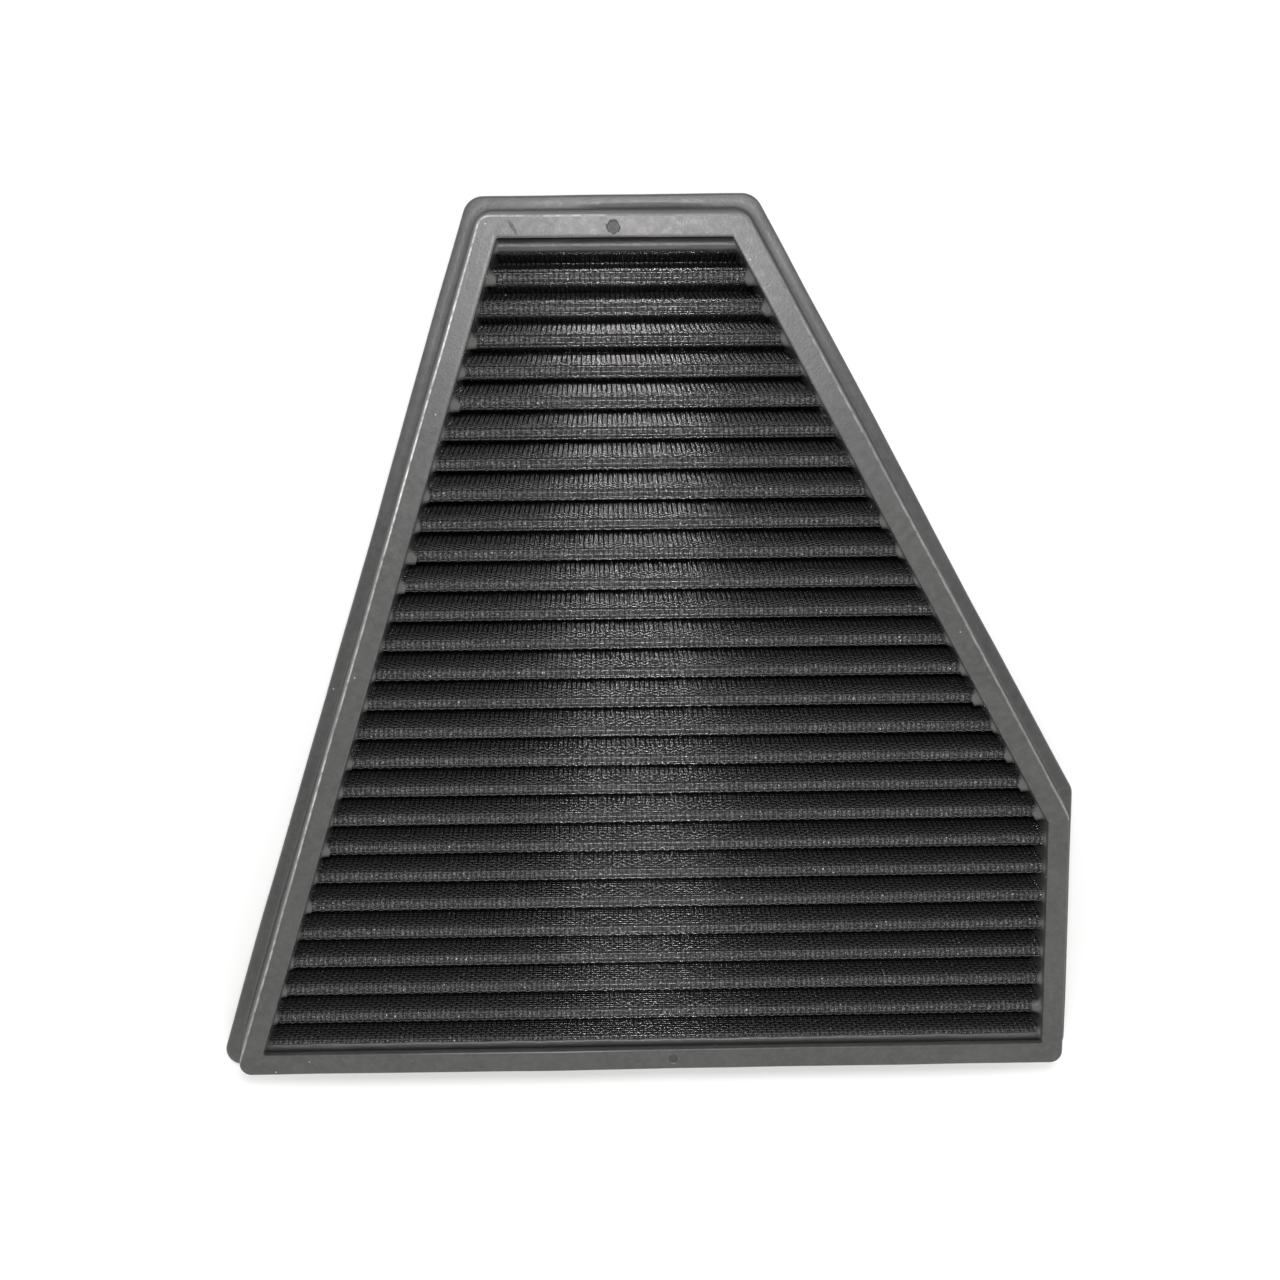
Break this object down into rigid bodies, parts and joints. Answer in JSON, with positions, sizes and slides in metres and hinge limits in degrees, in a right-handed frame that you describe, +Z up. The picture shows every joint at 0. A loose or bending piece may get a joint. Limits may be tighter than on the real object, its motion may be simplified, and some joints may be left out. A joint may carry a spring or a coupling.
{
  "type": "air filter",
  "caption": "Flat trapezoid panel air filter with one clipped corner: pleated gauze between wire screens, cast in a soft grey flanged frame.",
  "frame": {"origin": "centre of the bounding box's bottom face: the flange's flat underside is z = 0", "axes": "+Z up out of the dirty side, towards the frame's raised top face; +Y towards the narrow end; +X towards the clipped corner. The folds of the pack run along X."},
  "size_m": [0.3154, 0.317, 0.04],
  "materials": {
    "frame_rubber": "matte, fine grained",
    "coated_wire": "satin black coating",
    "gauze": "oiled woven cotton",
    "sealant": "smooth, slightly glossy"
  },
  "bodies": {
    "root": {"frame_casting": "frame_rubber", "outer_screen": "coated_wire", "gauze_ply_1": "gauze", "gauze_ply_2": "gauze", "gauze_ply_3": "gauze", "gauze_ply_4": "gauze", "inner_screen": "coated_wire", "narrow_end_bead": "sealant", "wide_end_bead": "sealant"}
  },
  "joints": []
}
